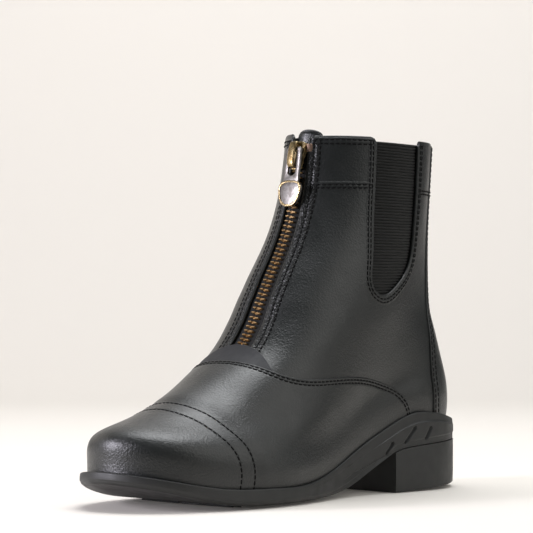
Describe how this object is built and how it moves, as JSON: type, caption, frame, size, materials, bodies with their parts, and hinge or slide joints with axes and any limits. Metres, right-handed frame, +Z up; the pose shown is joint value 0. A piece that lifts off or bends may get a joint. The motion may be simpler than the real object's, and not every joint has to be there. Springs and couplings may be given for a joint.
{
  "type": "paddock boot",
  "caption": "Ankle-high left riding boot: leather upper with toe cap, front zip, elastic side gores, cup sole and block heel; the zip's pull swings.",
  "frame": {"origin": "on the floor, under the middle of the sole's outline", "axes": "+Z up, toe to -Y, heel to +Y, the boot's outer side to +X"},
  "size_m": [0.097, 0.2647, 0.2025],
  "materials": {
    "leather": "smooth black leather, satin",
    "elastic": "black ribbed elastic, matt",
    "zip_tape": "black woven tape",
    "zip_teeth": "aged golden brass",
    "sole_rubber": "matt black moulded rubber",
    "insole_cloth": "black brushed cloth on a board",
    "slider_metal": "antique brass, worn bright at its edges",
    "pull_metal": "worn nickel plate"
  },
  "bodies": {
    "boot": {"upper": "leather", "toe_cap": "leather", "vamp": "leather", "vamp_patch": "leather", "backstay": "leather", "gore_lateral": "elastic", "gore_medial": "elastic", "zip_tape": "zip_tape", "zip_chain": "zip_teeth", "zip_guard": "leather", "outsole": "sole_rubber", "heel": "sole_rubber", "insole": "insole_cloth", "zip_slider": "slider_metal"},
    "pull": {"zip_pull": "pull_metal"}
  },
  "joints": [
    {"name": "pull_hinge", "type": "hinge", "parent": "boot", "child": "pull", "pos_m": [-0.00152, 0.01421, 0.18982], "axis": [-1, 0, 0], "range_deg": [0, 150]}
  ]
}
